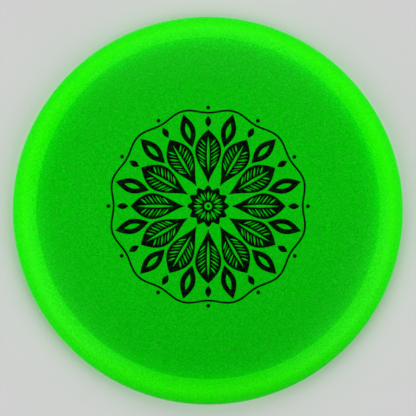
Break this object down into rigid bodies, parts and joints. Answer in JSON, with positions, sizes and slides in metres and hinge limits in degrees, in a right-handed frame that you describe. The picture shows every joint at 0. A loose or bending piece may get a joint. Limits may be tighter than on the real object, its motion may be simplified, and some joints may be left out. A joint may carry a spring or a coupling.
{
  "type": "flying disc",
  "caption": "Glow-in-the-dark golf disc: a thin flight plate, a wide bright wing-shaped rim moulded round its edge, and a black foil rosette stamped on the flat top.",
  "frame": {"origin": "on the disc's axis, in the plane that the rim rests on", "axes": "+Z is the disc's axis, from the rim's resting face to the stamped top; a petal of the rosette lies along +X and another along +Y"},
  "size_m": [0.217, 0.217, 0.0193],
  "materials": {
    "plate_plastic": "satin moulded elastomer with fine glow pigment, deep green",
    "rim_plastic": "satin moulded elastomer with fine glow pigment, bright green",
    "foil_film": "hot-stamped satin black foil"
  },
  "bodies": {
    "root": {"flight_plate": "plate_plastic", "rim": "rim_plastic", "foil_eye": "foil_film", "foil_flower": "foil_film", "foil_wave": "foil_film", "foil_petal_01": "foil_film", "foil_petal_02": "foil_film", "foil_petal_03": "foil_film", "foil_petal_04": "foil_film", "foil_petal_05": "foil_film", "foil_petal_06": "foil_film", "foil_petal_07": "foil_film", "foil_petal_08": "foil_film", "foil_petal_09": "foil_film", "foil_petal_10": "foil_film", "foil_petal_11": "foil_film", "foil_petal_12": "foil_film", "foil_tip_01": "foil_film", "foil_tip_02": "foil_film", "foil_tip_03": "foil_film", "foil_tip_04": "foil_film", "foil_tip_05": "foil_film", "foil_tip_06": "foil_film", "foil_tip_07": "foil_film", "foil_tip_08": "foil_film", "foil_tip_09": "foil_film", "foil_tip_10": "foil_film", "foil_tip_11": "foil_film", "foil_tip_12": "foil_film", "foil_dart_01": "foil_film", "foil_dart_02": "foil_film", "foil_dart_03": "foil_film", "foil_dart_04": "foil_film", "foil_dart_05": "foil_film", "foil_dart_06": "foil_film", "foil_dart_07": "foil_film", "foil_dart_08": "foil_film", "foil_dart_09": "foil_film", "foil_dart_10": "foil_film", "foil_dart_11": "foil_film", "foil_dart_12": "foil_film", "foil_dot_01": "foil_film", "foil_dot_02": "foil_film", "foil_dot_03": "foil_film", "foil_dot_04": "foil_film", "foil_dot_05": "foil_film", "foil_dot_06": "foil_film", "foil_dot_07": "foil_film", "foil_dot_08": "foil_film", "foil_dot_09": "foil_film", "foil_dot_10": "foil_film", "foil_dot_11": "foil_film", "foil_dot_12": "foil_film"}
  },
  "joints": []
}
